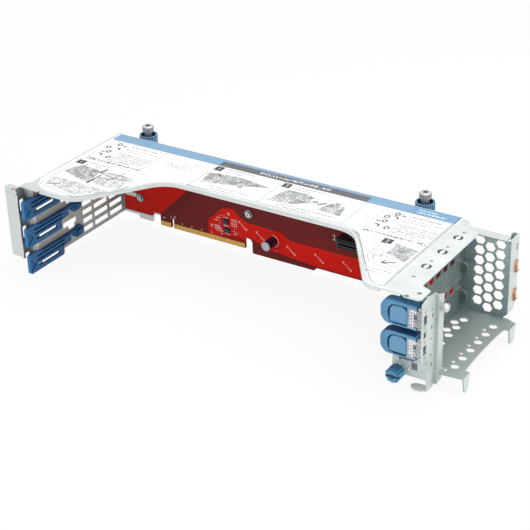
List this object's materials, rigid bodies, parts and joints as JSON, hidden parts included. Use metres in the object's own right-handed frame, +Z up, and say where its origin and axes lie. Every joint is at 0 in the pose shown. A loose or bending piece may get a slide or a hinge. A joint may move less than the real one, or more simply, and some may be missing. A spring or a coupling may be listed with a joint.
{
  "type": "server riser",
  "caption": "Server riser cage: folded sheet-metal top plate with a cut-out, riser board, card retainers, vented rear end, swinging card latches and captive thumbscrews.",
  "frame": {"origin": "middle of the cage's box in plan, at the level of its lowest hooks", "axes": "+X from the card retainers to the vented rear end, +Y from the latches' side to the riser board, +Z up"},
  "size_m": [0.3856, 0.143, 0.0862],
  "materials": {
    "sheet_steel": "satin zinc plate",
    "wall_steel": "satin zinc plate",
    "label": "printed label film, satin",
    "retainer_blue": "moulded satin plastic",
    "latch_blue": "moulded satin plastic",
    "board_red": "red solder mask, glossy",
    "gold": "gold plating",
    "connector_black": "moulded satin plastic",
    "can_aluminium": "satin, in a dark sleeve",
    "chip_black": "moulded",
    "screw_steel": "nickel plate",
    "copper": "beryllium copper",
    "knob_blue": "moulded satin plastic",
    "leaf_steel": "satin"
  },
  "bodies": {
    "cage": {"top_plate": "sheet_steel", "label_sheet": "label", "left_bracket": "wall_steel", "bracket_stud": "screw_steel", "upper_card_retainer": "retainer_blue", "middle_card_retainer": "retainer_blue", "lower_card_retainer": "retainer_blue", "riser_board": "board_red", "edge_contacts": "gold", "upper_slot_connector": "connector_black", "lower_slot_connector": "connector_black", "capacitor": "can_aluminium", "control_chip": "chip_black", "power_chip": "chip_black", "board_standoffs": "screw_steel", "board_screws": "screw_steel", "io_wall": "sheet_steel", "upper_slot_cover": "sheet_steel", "lower_slot_cover": "sheet_steel", "honeycomb_bracket": "sheet_steel", "emi_springs": "copper", "latch_post": "sheet_steel", "latch_pins": "screw_steel", "post_stud": "screw_steel", "near_ferrule": "screw_steel", "rear_ferrules": "screw_steel"},
    "upper_latch": {"upper_latch": "latch_blue", "upper_latch_leaf": "leaf_steel"},
    "lower_latch": {"lower_latch": "latch_blue", "lower_latch_leaf": "leaf_steel"},
    "upper_button": {"upper_latch_button": "latch_blue"},
    "lower_button": {"lower_latch_button": "latch_blue"},
    "near_thumbscrew": {"near_knob": "knob_blue", "near_screw": "screw_steel"},
    "rear_left_thumbscrew": {"rear_left_knob": "knob_blue", "rear_left_screw": "screw_steel"},
    "rear_right_thumbscrew": {"rear_right_knob": "knob_blue", "rear_right_screw": "screw_steel"}
  },
  "joints": [
    {"name": "upper_latch_hinge", "type": "hinge", "parent": "cage", "child": "upper_latch", "pos_m": [0.16775, -0.06621, 0.0619], "axis": [0, 0, 1], "range_deg": [0, 85]},
    {"name": "upper_button_press", "type": "slide", "parent": "upper_latch", "child": "upper_button", "axis": [0, 1, 0], "range_m": [0, 0.0012], "stiffness_N_per_m": 400},
    {"name": "lower_latch_hinge", "type": "hinge", "parent": "cage", "child": "lower_latch", "pos_m": [0.16775, -0.06621, 0.0385], "axis": [0, 0, 1], "range_deg": [0, 85]},
    {"name": "lower_button_press", "type": "slide", "parent": "lower_latch", "child": "lower_button", "axis": [0, 1, 0], "range_m": [0, 0.0012], "stiffness_N_per_m": 400},
    {"name": "near_screw_turn", "type": "hinge", "parent": "cage", "child": "near_thumbscrew", "pos_m": [0.14965, -0.06252, 0.0138], "axis": [0, 1, 0], "continuous": true},
    {"name": "rear_left_screw_turn", "type": "hinge", "parent": "cage", "child": "rear_left_thumbscrew", "pos_m": [-0.15375, 0.06399, 0.069], "axis": [0, 0, 1], "continuous": true},
    {"name": "rear_right_screw_turn", "type": "hinge", "parent": "cage", "child": "rear_right_thumbscrew", "pos_m": [0.10375, 0.06399, 0.069], "axis": [0, 0, 1], "continuous": true}
  ]
}
